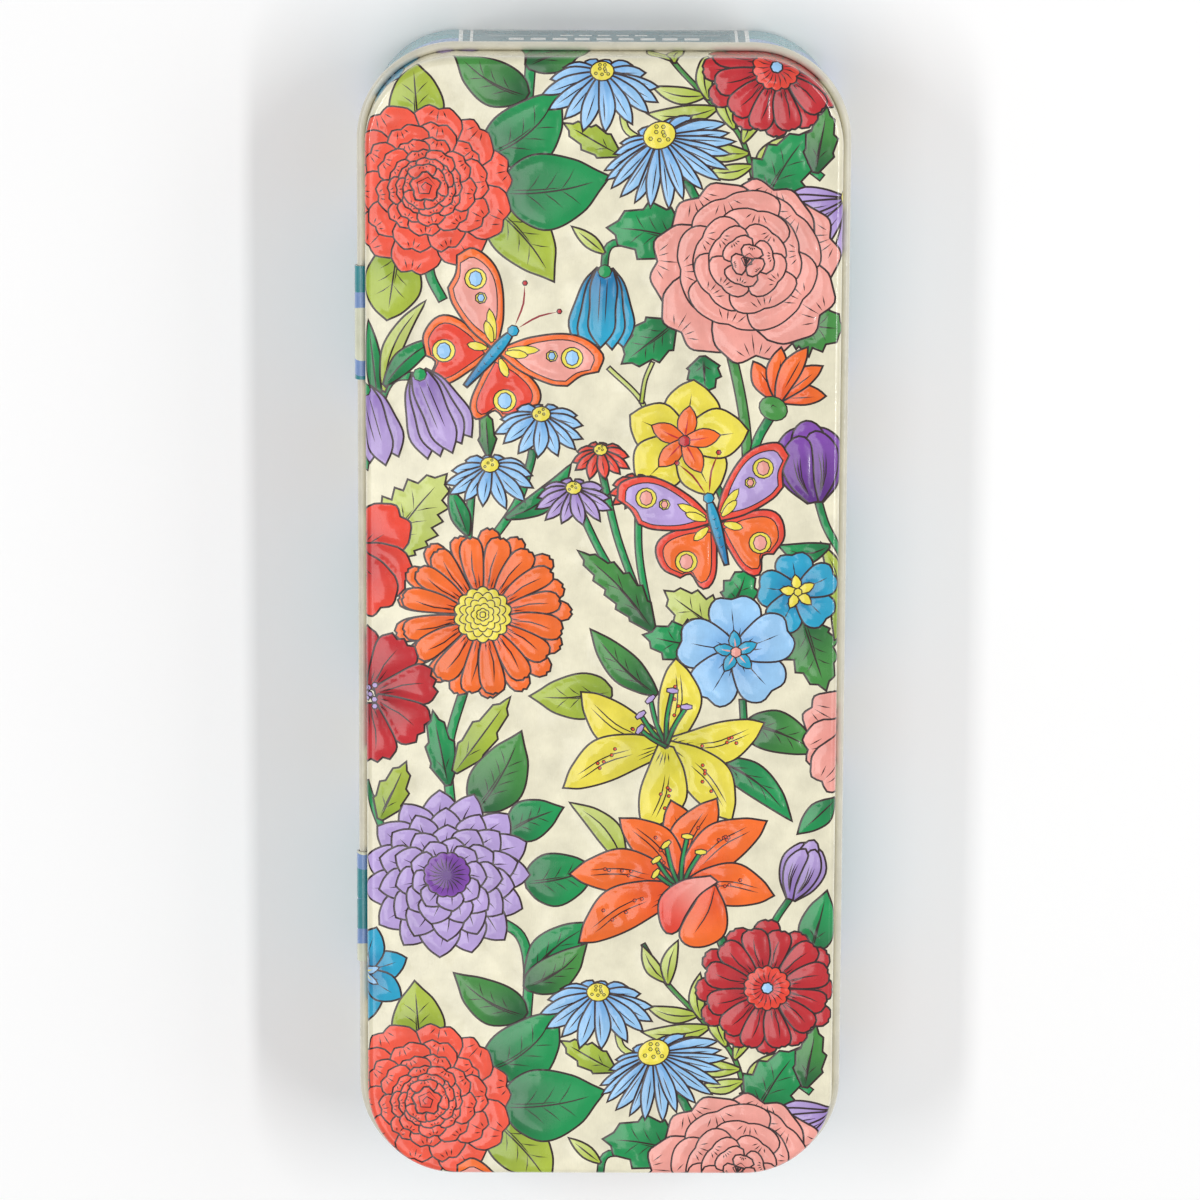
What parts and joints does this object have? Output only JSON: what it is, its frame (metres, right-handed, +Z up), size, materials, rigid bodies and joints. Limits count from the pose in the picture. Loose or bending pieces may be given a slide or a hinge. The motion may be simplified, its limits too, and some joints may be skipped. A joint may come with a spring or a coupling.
{
  "type": "hinged tin box",
  "caption": "Slim rectangular pressed tin with rounded corners and an embossed lid that swings on a rolled bead held by curled tongues.",
  "frame": {"origin": "middle of the closed tin's outline, on the surface that it rests on", "axes": "+Z up out of the lid's face with the tin lying flat on its tray, X along the length with the label end at +X, the hinge at the back at +Y"},
  "size_m": [0.203, 0.0849, 0.03],
  "materials": {
    "tray_print": "glossy lithographed print on tinplate, bands of periwinkle, cream, olive, maroon and teal",
    "lid_print": "glossy lithographed floral print on embossed tinplate, cream ground",
    "rim_lacquer": "glossy cream lacquer on the rolled bead",
    "tinplate": "bare tinplate with clear lacquer, inside and underneath"
  },
  "bodies": {
    "tray": {"base_tray": "tray_print"},
    "lid": {"hinged_lid": "lid_print"}
  },
  "joints": [
    {"name": "lid_hinge", "type": "hinge", "parent": "tray", "child": "lid", "pos_m": [0, 0.0415, 0.0232], "axis": [-1, 0, 0], "range_deg": [0, 190]}
  ]
}
